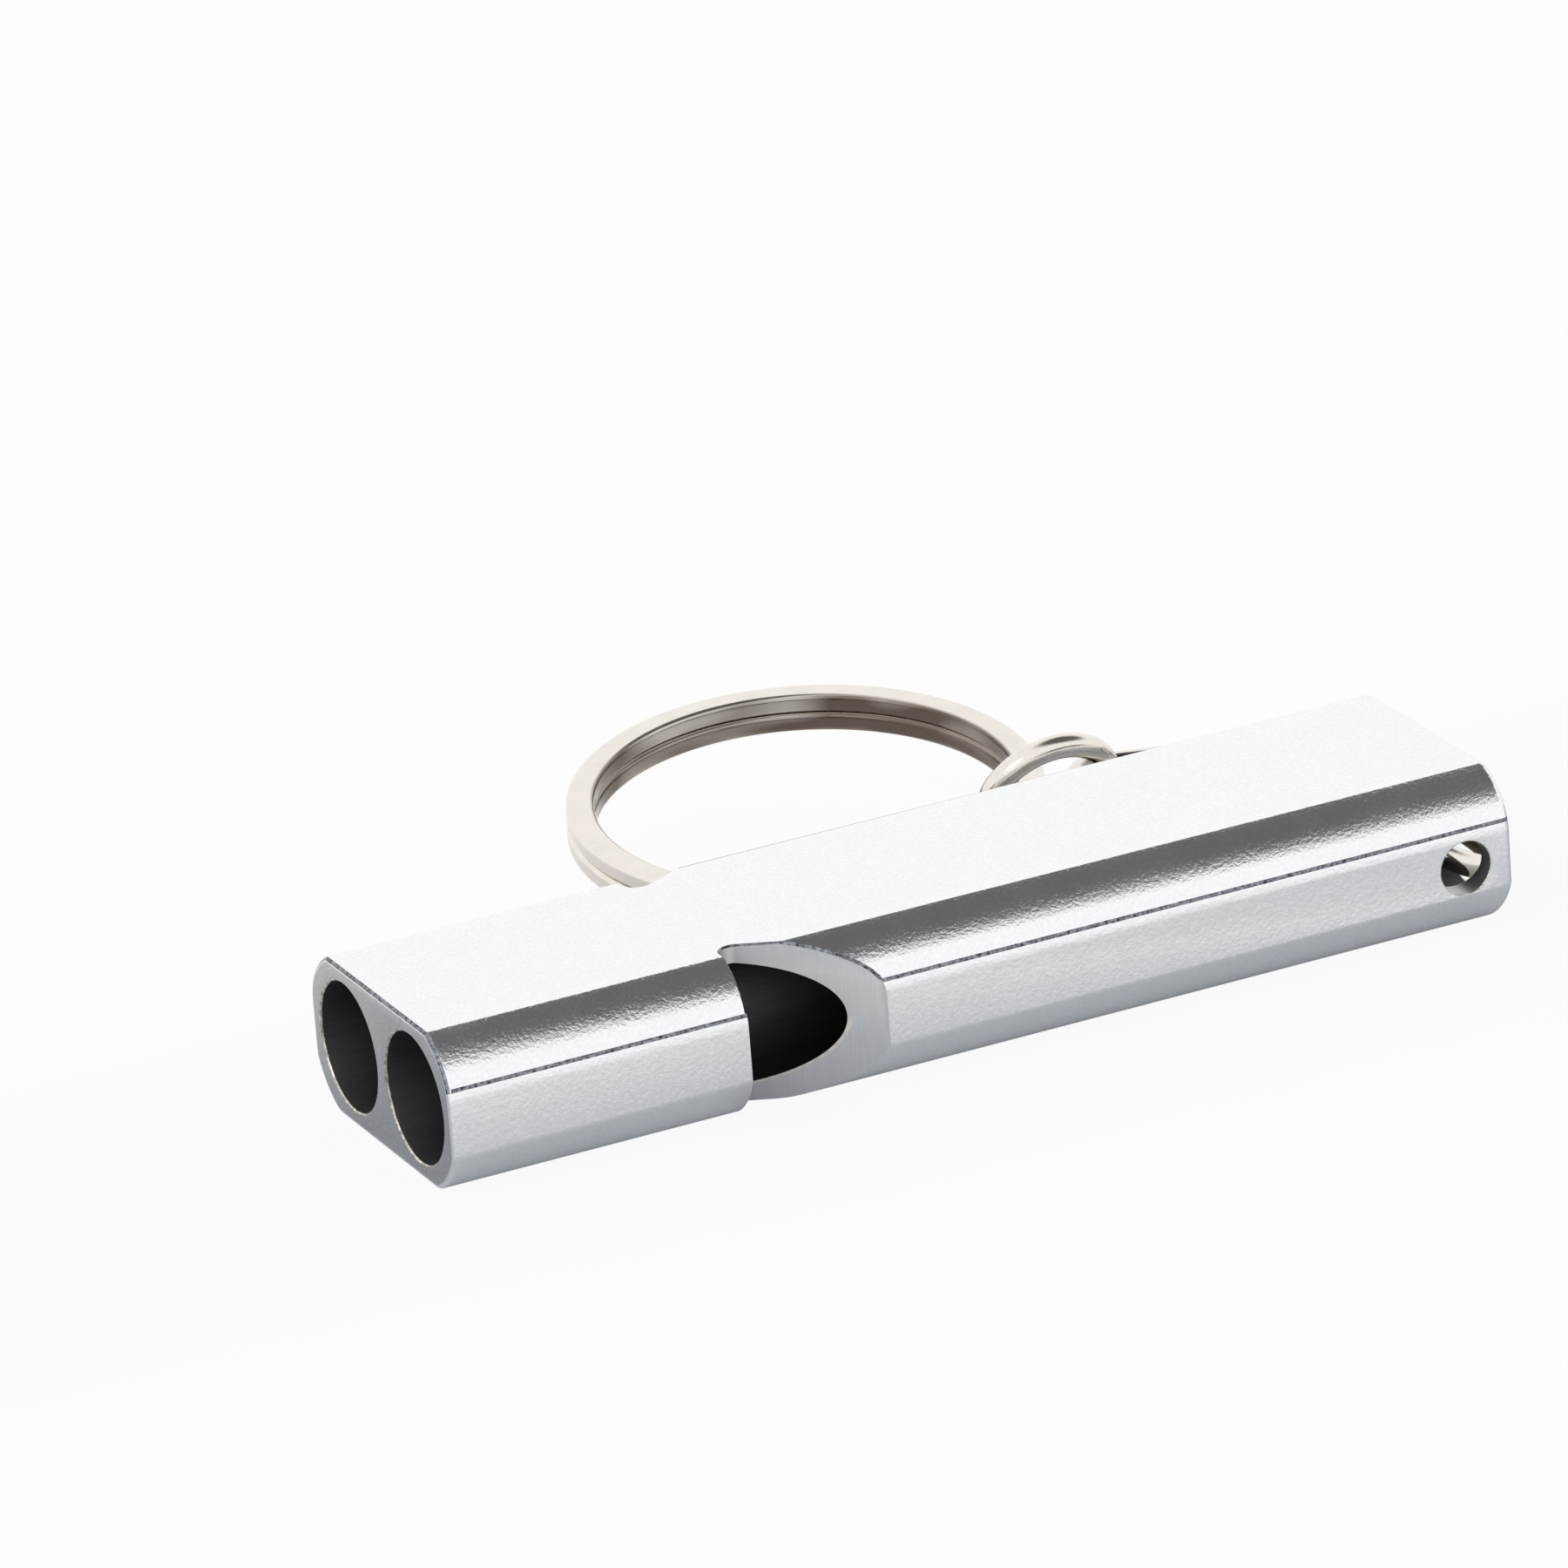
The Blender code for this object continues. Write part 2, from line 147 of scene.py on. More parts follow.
def linear(code):
    """Turn an sRGB hex colour into the linear values that the shaders use."""
    parts = [int(code[place:place + 2], 16) / 255 for place in (1, 3, 5)]
    return tuple(part / 12.92 if part <= 0.04045 else ((part + 0.055) / 1.055) ** 2.4 for part in parts)


def length(name, description, default):
    """Make a length that a user may change."""
    return FloatProperty(
        name=name, description=description, default=default, min=0, unit="LENGTH", precision=5,
    )


def colour(name, description, code):
    """Make a colour that a user may change."""
    return FloatVectorProperty(
        name=name, description=description, default=linear(code), subtype="COLOR", size=3,
    )


# Sizes and colours that a user would change


class WhistleSizes(PropertyGroup):
    """Sizes of the body, its windows and its plugs"""

    bore: length("Bore", "Diameter of each bore", 6.8 * MM)
    bore_spacing: length("Bore Spacing", "From one bore's axis to the other's", 7.92 * MM)
    corner: length("Corner", "Radius of the arcs round each bore", 4.68 * MM)
    top_crease: length("Top Crease", "Rounding where an arc meets the top", 0.3 * MM)
    side_crease: length("Side Crease", "Rounding where an upper arc meets a side", 3.0 * MM)
    lower_crease: length("Lower Crease", "Rounding where a lower arc meets a side", 0.7 * MM)
    under_crease: length("Under Crease", "Rounding where an arc meets the underside", 1.6 * MM)
    edge: length("Edge", "Rounding of the edges at the mouth", 0.22 * MM)
    tail_edge: length("Tail Edge", "Rounding of the edges at the tail", 0.45 * MM)
    rim: length("Rim", "Rounding of the bores' rims", 0.14 * MM)
    window_from_mouth: length("Window From Mouth", "From the mouth to the window's square wall", 16.43 * MM)
    window_length: length("Window Length", "Length of the window's ramp", 7.7 * MM)
    window_depth: length("Window Depth", "Depth of the window at its square wall", 3.85 * MM)
    window_corner: length("Window Corner", "Rounding between the window's wall and its ramp", 0.75 * MM)
    dark_facet: length("Dark Facet", "Width of the dark-lined facet along a window's upper edge", 0.1 * MM)
    cut_edge_and_highlight: length("Painted Highlight", "Width of the painted highlight along a bore's lower edge in a window", 0.13 * MM)
    hole: length("Hole", "Diameter of the cross hole", 2.86 * MM)
    hole_from_tail: length("Hole From Tail", "From the tail to the cross hole's axis", 2.78 * MM)
    hole_height: length("Hole Height", "Height of the cross hole's axis", 3.965 * MM)
    windway: length("Windway", "Height of the gap beside each plug", 1.5 * MM)


class WireSizes(PropertyGroup):
    """Sizes of the wire rings"""

    ring_wire: length("Ring Wire", "Diameter of the round rings' wire", 1.3 * MM)
    tail_ring: length("Tail Ring", "Mean radius of the ring in the cross hole", 3.61 * MM)
    small_ring: length("Small Ring", "Mean radius of the ring that holds the key ring", 3.55 * MM)
    link_wire: length("Link Wire", "Diameter of the links' wire", 1.0 * MM)
    link_end: length("Link End", "Mean radius of a link's ends", 1.79 * MM)
    first_link: length("First Link", "Straight length of the first link", 8.0 * MM)
    second_link: length("Second Link", "Straight length of the second link", 12.9 * MM)
    joint_width: length("Joint Width", "Width of the seam where a ring is closed", 0.22 * MM)
    key_ring: length("Key Ring", "Mean radius of the split key ring", 11.85 * MM)
    key_width: length("Key Wire Width", "Width of the key ring's flat wire", 1.5 * MM)
    key_height: length("Key Wire Height", "Height of the key ring's flat wire", 1.05 * MM)
    key_step: length("Key Turn Step", "Rise from the low turn to the high turn", 1.11 * MM)
    key_corner: length("Key Wire Corner", "Rounding of the flat wire's corners", 0.3 * MM)


class Finishes(PropertyGroup):
    """Colours of the metals and the floor"""

    blasted: colour("Blasted Aluminium", "Skin of the body", "#f9fafb")
    faced: colour("Faced Aluminium", "End faces of the body", "#c4c5c6")
    milled: colour("Milled Aluminium", "Ramps and walls of the windows", "#ced0d2")
    bore: colour("Bore Painted Shade", "Inside of the bores, darkened as painted shade", "#5c5d5f")
    cut_edge_and_highlight: colour("Cut Edge", "Thin edges left bright by the cutter, and the painted highlight under each bore", "#e9e3d3")
    dark_line: colour("Dark Edge Line", "Dark broken line painted along outer edges", "#8f959d")
    turned: colour("Turned Aluminium", "Plugs and stoppers", "#8e9092")
    nickel: colour("Nickel Plate", "Rings and links, outside their painted inner shade", "#efe9e0")
    nickel_inner_shade: colour("Nickel Inner Shade", "Painted shade on the inner sides of the rings", "#6e6358")
    floor: colour("Floor", "Pale floor", "#f6f7f8")
    floor_painted_shadow: colour("Floor Painted Shadow", "Grey painted on the floor under the object as a painted shadow", "#b9bfc6")


# Nodes and metals


def set_inputs(tree, node, inputs):
    """Link a node's inputs to sockets, or set them to values."""
    for place, value in inputs.items():
        if isinstance(value, bpy.types.NodeSocket):
            tree.links.new(value, node.inputs[place])
        else:
            node.inputs[place].default_value = value


def add_node(tree, kind, settings=None, inputs=None):
    """Add a node with its settings and its inputs."""
    made = tree.nodes.new(kind)
    for name, value in (settings or {}).items():
        setattr(made, name, value)
    set_inputs(tree, made, inputs or {})
    return made


def new_metal(name, tint, roughness):
    """Make a metal and give back its tree and shader."""
    metal = bpy.data.materials.new(name)
    metal.use_nodes = True
    tree = metal.node_tree
    shader = tree.nodes["Principled BSDF"]
    set_inputs(tree, shader, {"Base Color": (*tint, 1), "Metallic": 1.0, "Roughness": roughness})
    return metal, tree, shader


def grain(tree, size, stretch=(1, 1, 1), detail=2.0):
    """Make a pattern whose grains are of a real size, stretched along the object's axes."""
    spot = add_node(tree, "ShaderNodeTexCoord").outputs["Object"]
    turned = add_node(tree, "ShaderNodeMapping", {}, {"Vector": spot, "Scale": stretch}).outputs["Vector"]
    return add_node(tree, "ShaderNodeTexNoise", {}, {
        "Vector": turned, "Scale": 1 / size, "Detail": detail, "Roughness": 0.6,
    }).outputs["Fac"]


def tinted(tree, tint, value, low, high):
    """Darken and lighten a colour by a pattern."""
    factor = add_node(tree, "ShaderNodeMapRange", {}, {
        "Value": value, "From Min": NOISE_LOW, "From Max": NOISE_HIGH, "To Min": low, "To Max": high,
    }).outputs["Result"]
    scaled = add_node(tree, "ShaderNodeVectorMath", {"operation": "SCALE"}, {0: tint, "Scale": factor})
    return scaled.outputs["Vector"]


def blasted_aluminium(tint):
    """Bead-blasted, clear-anodised aluminium."""
    # Each bead leaves a shallow shiny dimple, so bands that the skin mirrors end in a sparkling, broken edge.
    # Real dimples are under 0.1 mm wide, and are drawn twice as coarse so that they show.
    metal, tree, shader = new_metal("bead_blasted_aluminium", tint, 0.16)
    dimples = grain(tree, 0.2 * MM)
    clouds = grain(tree, 3.0 * MM)
    dull = add_node(tree, "ShaderNodeMapRange", {}, {
        "Value": clouds, "From Min": NOISE_LOW, "From Max": NOISE_HIGH, "To Min": 0.13, "To Max": 0.2,
    }).outputs["Result"]
    dents = add_node(tree, "ShaderNodeBump", {}, {"Height": dimples, "Distance": 0.026 * MM})
    set_inputs(tree, shader, {
        "Base Color": tinted(tree, tint, dimples, 0.94, 1.02), "Roughness": dull, "Normal": dents.outputs[0],
    })
    return metal


def faced_aluminium(tint):
    """Aluminium faced on a mill and lightly blasted."""
    # The cutter's fine marks dull the end faces to a mid grey.
    metal, tree, shader = new_metal("faced_aluminium", tint, 0.34)
    marks = grain(tree, 0.14 * MM, (1, 1, 0.12))
    pits = grain(tree, 0.2 * MM)
    cut = add_node(tree, "ShaderNodeBump", {}, {"Height": marks, "Distance": 0.012 * MM}).outputs[0]
    pitted = add_node(tree, "ShaderNodeBump", {}, {"Height": pits, "Distance": 0.016 * MM, "Normal": cut})
    set_inputs(tree, shader, {
        "Base Color": tinted(tree, tint, pits, 0.85, 1.08), "Normal": pitted.outputs[0],
    })
    return metal


def from_bore_axis(tree, offset):
    """Measure how far each point lies from the nearer bore's axis, and how far above it."""
    spot = add_node(tree, "ShaderNodeTexCoord").outputs["Object"]
    axes = add_node(tree, "ShaderNodeSeparateXYZ", {}, {"Vector": spot}).outputs
    side = add_node(tree, "ShaderNodeMath", ABSOLUTE, {0: axes["Y"]}).outputs[0]
    across = add_node(tree, "ShaderNodeMath", SUBTRACT, {0: side, 1: offset}).outputs[0]
    up = add_node(tree, "ShaderNodeMath", SUBTRACT, {0: axes["Z"], 1: BODY_MIDDLE}).outputs[0]
    flat = add_node(tree, "ShaderNodeCombineXYZ", {}, {"X": across, "Y": up}).outputs[0]
    return add_node(tree, "ShaderNodeVectorMath", {"operation": "LENGTH"}, {0: flat}).outputs["Value"], up


def milled_aluminium(tint, highlight_tint, sizes):
    """Aluminium as the end mill leaves it, with a painted highlight along the lower edge of the bore."""
    # Fine upright tool marks turn the ramp to an even grey with a faint line pattern.
    metal, tree, shader = new_metal("milled_aluminium", tint, 0.46)
    marks = grain(tree, 0.07 * MM, (1, 1, 0.03), 1.0)
    plain = tinted(tree, tint, marks, 0.95, 1.03)
    nicks = grain(tree, 0.3 * MM)
    out, up = from_bore_axis(tree, sizes.bore_spacing / 2)
    edge = sizes.bore / 2
    # Painted highlight: a bright band is painted along the bore's edge, below its axis only.
    on_painted_highlight = add_node(tree, "ShaderNodeMapRange", {}, {
        "Value": out, "From Min": edge + sizes.cut_edge_and_highlight * 0.6, "From Max": edge + sizes.cut_edge_and_highlight,
        "To Min": 1.0, "To Max": 0.0,
    }).outputs["Result"]
    low = add_node(tree, "ShaderNodeMapRange", {}, {
        "Value": up, "From Min": -0.4 * MM, "From Max": 0.0, "To Min": 1.0, "To Max": 0.0,
    }).outputs["Result"]
    broken = add_node(tree, "ShaderNodeMapRange", {}, {
        "Value": nicks, "From Min": 0.35, "From Max": 0.55, "To Min": 0.3, "To Max": 1.0,
    }).outputs["Result"]
    below = add_node(tree, "ShaderNodeMath", MULTIPLY, {0: on_painted_highlight, 1: low}).outputs[0]
    share = add_node(tree, "ShaderNodeMath", MULTIPLY, {0: below, 1: broken}).outputs[0]
    mixed = add_node(tree, "ShaderNodeMix", COLOURS, {0: share, 6: plain, 7: (*highlight_tint, 1)}).outputs[2]
    cut = add_node(tree, "ShaderNodeBump", {}, {"Height": marks, "Distance": 0.002 * MM})
    set_inputs(tree, shader, {"Base Color": mixed, "Normal": cut.outputs[0]})
    return metal


def bore_with_painted_shade(tint):
    """Aluminium as drawn, unpolished and dull, with a dark tint painted in as painted shade inside the bores.
    """
    # Painted shade: the dark tint and faint draw lines keep the inside an even charcoal.
    metal, tree, shader = new_metal("bore_aluminium_painted_shade", tint, 0.55)
    lines = grain(tree, 0.2 * MM, (0.06, 1, 1))
    scored = add_node(tree, "ShaderNodeBump", {}, {"Height": lines, "Distance": 0.008 * MM})
    set_inputs(tree, shader, {
        "Base Color": tinted(tree, tint, lines, 0.88, 1.06), "Normal": scored.outputs[0],
    })
    return metal


def cut_edge(tint):
    """A thin edge that the cutter left bright."""
    # Fresh metal with small nicks catches the light in broken lines.
    metal, tree, shader = new_metal("bright_cut_edge", tint, 0.2)
    nicks = grain(tree, 0.3 * MM)
    nicked = add_node(tree, "ShaderNodeBump", {}, {"Height": nicks, "Distance": 0.02 * MM})
    set_inputs(tree, shader, {
        "Base Color": tinted(tree, tint, nicks, 0.35, 1.15), "Normal": nicked.outputs[0],
    })
    return metal


def dark_line_edge(tint):
    """An outer edge with a dark, broken line painted into its colour, bright between the breaks."""
    # Breaks a few tenths of a millimetre long make the painted line dark and broken.
    metal, tree, shader = new_metal("dark_line_metal", tint, 0.25)
    line_breaks = grain(tree, 0.24 * MM, (1, 1, 1), 3.0)
    broken_line = add_node(tree, "ShaderNodeBump", {}, {"Height": line_breaks, "Distance": 0.03 * MM})
    set_inputs(tree, shader, {
        "Base Color": tinted(tree, tint, line_breaks, 0.03, 1.4), "Normal": broken_line.outputs[0],
    })
    return metal


def turned_aluminium(tint, bore_offset):
    """Aluminium turned on a lathe."""
    # Fine rings round each bore's axis, as a lathe tool leaves them on a faced end.
    metal, tree, shader = new_metal("lathe_turned_aluminium", tint, 0.38)
    out = from_bore_axis(tree, bore_offset)[0]
    feed = 2 * math.pi / (0.16 * MM)
    wave = add_node(tree, "ShaderNodeMath", MULTIPLY, {0: out, 1: feed}).outputs[0]
    rings = add_node(tree, "ShaderNodeMath", SINE, {0: wave}).outputs[0]
    ringed = add_node(tree, "ShaderNodeBump", {}, {"Height": rings, "Distance": 0.004 * MM})
    set_inputs(tree, shader, {
        "Base Color": tinted(tree, tint, grain(tree, 0.4 * MM), 0.85, 1.08), "Normal": ringed.outputs[0],
    })
    return metal


def nickel_plate(tint, dull):
    """Nickel plate on steel wire, with painted shade on the inner side of each ring."""
    # The inner side of each ring is painted brown-grey as painted shade, broken by a few lighter patches.
    metal, tree, shader = new_metal("nickel_plate_painted_inner_shade", tint, 0.1)
    marks = grain(tree, 1.4 * MM, (1, 1, 1), 4.0)
    shade_breakup = grain(tree, 7.0 * MM, (1, 1, 3), 1.0)
    peel = grain(tree, 0.35 * MM)
    inner = add_node(tree, "ShaderNodeAttribute", {"attribute_name": "inner"}).outputs["Fac"]
    inner_shade = add_node(tree, "ShaderNodeMapRange", {}, {
        "Value": inner, "From Min": 0.25, "From Max": 0.75, "To Min": 0.0, "To Max": 1.0,
    }).outputs["Result"]
    patchy_shade = add_node(tree, "ShaderNodeMapRange", {}, {
        "Value": shade_breakup, "From Min": 0.45, "From Max": 0.75, "To Min": 1.0, "To Max": 0.35,
    }).outputs["Result"]
    polish = add_node(tree, "ShaderNodeMapRange", {}, {
        "Value": marks, "From Min": NOISE_LOW, "From Max": NOISE_HIGH, "To Min": 0.07, "To Max": 0.2,
    }).outputs["Result"]
    # Painted shade: share is how much of the brown-grey shade colour is painted in.
    share = add_node(tree, "ShaderNodeMath", MULTIPLY, {0: inner_shade, 1: patchy_shade}).outputs[0]
    outer_colour = tinted(tree, tint, marks, 0.94, 1.03)
    mixed = add_node(tree, "ShaderNodeMix", COLOURS, {0: share, 6: outer_colour, 7: (*dull, 1)}).outputs[2]
    skin = add_node(tree, "ShaderNodeBump", {}, {"Height": peel, "Distance": 0.004 * MM})
    set_inputs(tree, shader, {"Base Color": mixed, "Roughness": polish, "Normal": skin.outputs[0]})
    return metal


# Meshes


def finish_piece(name, mesh, body, node):
    """Put a finished mesh in the scene for the solid that it stands for."""
    piece = bpy.data.objects.new(name, mesh)
    bpy.context.scene.collection.objects.link(piece)
    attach(piece, body)
    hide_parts(node)


def plain_mesh(holder, name):
    """Evaluate an object with its modifiers and keep the result as a plain mesh."""
    bpy.context.view_layer.update()
    evaluated = holder.evaluated_get(bpy.context.evaluated_depsgraph_get())
    mesh = bpy.data.meshes.new_from_object(evaluated)
    mesh.name = name
    holder.modifiers.clear()
    bpy.data.objects.remove(holder, do_unlink=True)
    return mesh


def lofted(name, rings, metals, kinds):
    """Join closed rings of points and close both ends. Kinds gives each band's metal, then each end's."""
    count = len(rings[0])
    points = [point for ring in rings for point in ring]
    faces = []
    face_kinds = []
    for band in range(len(rings) - 1):
        low = band * count
        high = low + count
        for step in range(count):
            after = (step + 1) % count
            faces.append((low + step, low + after, high + after, high + step))
            face_kinds.append(kinds[band])
    faces.append(tuple(range(count)))
    faces.append(tuple(range(len(points) - count, len(points))))
    face_kinds += kinds[-2:]
    mesh = bpy.data.meshes.new(name)
    mesh.from_pydata(points, [], faces)
    for metal in metals:
        mesh.materials.append(metal)
    mesh.polygons.foreach_set("material_index", face_kinds)
    work = bmesh.new()
    work.from_mesh(mesh)
    bmesh.ops.recalc_face_normals(work, faces=work.faces)
    work.to_mesh(mesh)
    work.free()
    return mesh


def shaded(mesh, angle):
    """Shade a mesh smooth, with its real edges kept sharp."""
    mesh.shade_smooth()
    mesh.set_sharp_from_angle(angle=math.radians(angle))
    return mesh


def arc(centre, radius, start, end, steps):
    """List points along an arc, from one angle to another."""
    points = []
    for step in range(steps + 1):
        angle = start + (end - start) * step / steps
        points.append(Vector((centre[0] + radius * math.cos(angle), centre[1] + radius * math.sin(angle))))
    return points


def quarter_round(radius, steps):
    """List how far in and how far back from the end each point of a rounded edge is."""
    angles = [math.pi / 2 * step / steps for step in range(steps + 1)]
    return [(radius * (1 - math.cos(angle)), radius * (1 - math.sin(angle))) for angle in angles]


def inset(points, distance):
    """Move a closed outline inwards."""
    moved = []
    for place, point in enumerate(points):
        tangent = (points[(place + 1) % len(points)] - points[place - 1]).normalized()
        moved.append(point + distance * Vector((-tangent.y, tangent.x)))
    return moved


def bar(name, outline, low, high, middle, rounding, metals, kinds):
    """Draw an outline of Y and Z along X, with each end rounded by its own radius."""
    stations = [(low + back, inwards) for inwards, back in reversed(quarter_round(rounding[0], EDGE_STEPS))]
    stations += [(high - back, inwards) for inwards, back in quarter_round(rounding[1], EDGE_STEPS)]
    rings = []
    for along, inwards in stations:
        rings.append([(along, middle[0] + spot.x, middle[1] + spot.y) for spot in inset(outline, inwards)])
    return lofted(name, rings, metals, [kinds[0]] * (len(rings) - 1) + [kinds[1], kinds[1]])


def turned_rings(profile, centre, sides, along_y=False):
    """Turn a profile of place and radius about a line along X, or along Y."""
    rings = []
    for along, radius in profile:
        circle = arc(centre, radius, 0, 2 * math.pi, sides)[:-1]
        rings.append([(spot.x, along, spot.y) if along_y else (along, spot.x, spot.y) for spot in circle])
    return rings


def drill(name, low, high, radius, rim, centre, sides, metals, along_y=False):
    """Make a drill that goes right through and rounds both rims. Metals are the bore's and the rim's."""
    past = 1 * MM
    start = [(low - past, radius + rim)]
    start += [(low + back, radius + wide) for back, wide in quarter_round(rim, RIM_STEPS)]
    end = [(low + high - along, wide) for along, wide in reversed(start)]
    kinds = [1] * (len(start) - 1) + [0] + [1] * (len(end) - 1) + [1, 1]
    return lofted(name, turned_rings(start + end, centre, sides, along_y), metals, kinds)


# Body


def body_quarter(sizes, side, crease):
    """Follow a quarter of the section from a side to the top or underside, with its creases rounded."""
    across = sizes.bore_spacing / 2
    half_width = (BODY_HIGH.y - BODY_LOW.y) / 2
    half_height = (BODY_HIGH.z - BODY_LOW.z) / 2
    side_angle = math.acos((half_width - across - side) / (sizes.corner - side))
    side_centre = (half_width - side, (sizes.corner - side) * math.sin(side_angle))
    top_angle = math.asin((half_height - crease) / (sizes.corner - crease))
    top_centre = (across + (sizes.corner - crease) * math.cos(top_angle), half_height - crease)
    quarter = arc(side_centre, side, 0, side_angle, SECTION_STEPS[0])
    quarter += arc((across, 0), sizes.corner, side_angle, top_angle, SECTION_STEPS[1])[1:-1]
    quarter += arc(top_centre, crease, top_angle, math.pi / 2, SECTION_STEPS[2])
    return quarter


def body_section(sizes):
    """Join four quarters into the whole section."""
    upper = body_quarter(sizes, sizes.side_crease, sizes.top_crease)
    under = body_quarter(sizes, sizes.lower_crease, sizes.under_crease)
    lower = [Vector((spot.x, -spot.y)) for spot in under]
    points = list(upper)
    points += [Vector((-spot.x, spot.y)) for spot in reversed(upper)]
    points += [Vector((-spot.x, spot.y)) for spot in lower]
    points += list(reversed(lower))
    return points


def paint_dark_edge_lines(mesh, sizes, kind):
    """Give the dark-line metal to the mouth's upper edges, and to a line along each upper side crease as a
    painted dark reflection.
    """
    for face in mesh.polygons:
        height = face.center.z - BODY_MIDDLE
        from_mouth = face.center.x - BODY_LOW.x
        on_mouth = DARK_MOUTH_EDGE[0] < from_mouth < DARK_MOUTH_EDGE[1] and height > DARK_LINE_HEIGHTS[0]
        on_line = from_mouth > sizes.edge and DARK_LINE_HEIGHTS[0] < height < DARK_LINE_HEIGHTS[1]
        if on_mouth or on_line:
            face.material_index = kind


def window_wedge(sizes, side, metal):
    """Make the cutter of one sound window: a square wall, a rounded corner, then a ramp out to the side."""
    past = 2 * MM
    wall = BODY_LOW.x + sizes.window_from_mouth
    flank = BODY_HIGH.y
    slope = math.atan2(sizes.window_depth, sizes.window_length)
    half_corner = (math.pi / 2 - slope) / 2
    back = sizes.window_corner / math.sin(half_corner)
    bisector = slope + half_corner
    centre = (wall + back * math.cos(bisector), flank - sizes.window_depth + back * math.sin(bisector))
    rounded = arc(centre, sizes.window_corner, math.pi, 1.5 * math.pi + slope, WINDOW_STEPS)
    corners = [tuple(spot) for spot in rounded]
    ramp_end = wall + sizes.window_length * (1 + past / sizes.window_depth)
    corners += [(ramp_end, flank + past), (wall, flank + past)]
    rings = []
    for height in (BODY_LOW.z - past, BODY_HIGH.z + past):
        rings.append([(x, side * y, height) for x, y in corners])
    return lofted("window_wedge", rings, [metal], [0, 0, 0])


def cut_away(body, mesh):
    """Cut a mesh away from the body, and let its metals stay on the cut."""
    tool = bpy.data.objects.new(mesh.name, mesh)
    bpy.context.scene.collection.objects.link(tool)
    boolean = body.modifiers.new(mesh.name, "BOOLEAN")
    boolean.operation = "DIFFERENCE"
    boolean.solver = "EXACT"
    boolean.material_mode = "TRANSFER"
    boolean.object = tool
    return tool


def bevel_window_dark_edges(mesh, milled, skin, broken_line, width):
    """Give the windows a narrow facet along their upper edges with the skin, with a dark broken line painted
    on it.
    """
    names = [metal.name for metal in mesh.materials]
    milled_kind, skin_kind, dark_line_kind = (names.index(metal.name) for metal in (milled, skin, broken_line))
    lowest = BODY_MIDDLE + DARK_LINE_HEIGHTS[0]
    work = bmesh.new()
    work.from_mesh(mesh)
    bmesh.ops.remove_doubles(work, verts=work.verts, dist=MERGE_DISTANCE)
    bmesh.ops.dissolve_degenerate(work, edges=work.edges, dist=MERGE_DISTANCE)
    edges = []
    for edge in work.edges:
        kinds = sorted(face.material_index for face in edge.link_faces)
        upper = edge.verts[0].co.z + edge.verts[1].co.z > 2 * lowest
        if upper and kinds == sorted((milled_kind, skin_kind)):
            edges.append(edge)
    bmesh.ops.bevel(
        work, geom=edges, offset=width, offset_type="OFFSET", segments=1, profile=0.5,
        affect="EDGES", clamp_overlap=False, material=dark_line_kind,
    )
    work.to_mesh(mesh)
    work.free()


class WHISTLE_OT_body(Operator):
    """Make the drawn twin tube with its windows and cross hole"""

    bl_idname = "whistle.body"
    bl_label = "Body"

    def execute(self, context):
        sizes = context.scene.whistle_sizes
        tints = context.scene.whistle_finishes
        blasted = blasted_aluminium(tints.blasted)
        faced = faced_aluminium(tints.faced)
        shaded_bore_metal = bore_with_painted_shade(tints.bore)
        cut_edge_and_highlight = cut_edge(tints.cut_edge_and_highlight)
        dark_line = dark_line_edge(tints.dark_line)
        milled = milled_aluminium(tints.milled, tints.cut_edge_and_highlight, sizes)
        blank = bar(
            "whistle_skin", body_section(sizes), BODY_LOW.x, BODY_HIGH.x, (0, BODY_MIDDLE),
            (sizes.edge, sizes.tail_edge), [blasted, faced, dark_line], [0, 1],
        )
        paint_dark_edge_lines(blank, sizes, 2)
        body = bpy.data.objects.new("whistle_skin_blank", blank)
        context.scene.collection.objects.link(body)
        tools = []
        for side in (-1, 1):
            axis = (side * sizes.bore_spacing / 2, BODY_MIDDLE)
            bore = drill(
                "bore_drill", BODY_LOW.x, BODY_HIGH.x, sizes.bore / 2, sizes.rim, axis, BORE_SIDES,
                [shaded_bore_metal, cut_edge_and_highlight],
            )
            tools.append(cut_away(body, bore))
            tools.append(cut_away(body, window_wedge(sizes, side, milled)))
        hole_axis = (BODY_HIGH.x - sizes.hole_from_tail, sizes.hole_height)
        hole = drill(
            "cross_drill", BODY_LOW.y, BODY_HIGH.y, sizes.hole / 2, sizes.rim / 2, hole_axis, HOLE_SIDES,
            [milled, cut_edge_and_highlight], along_y=True,
        )
        tools.append(cut_away(body, hole))
        mesh = plain_mesh(body, "whistle_skin")
        for tool in tools:
            bpy.data.objects.remove(tool, do_unlink=True)
        bevel_window_dark_edges(mesh, milled, blasted, dark_line, sizes.dark_facet)
        shaded(mesh, BODY_SHARP)
        if not mesh.polygons:
            raise RuntimeError("the body came out empty")
        finish_piece("whistle_skin", mesh, "whistle", "whistle_body")
        return {"FINISHED"}


# Plugs and stoppers


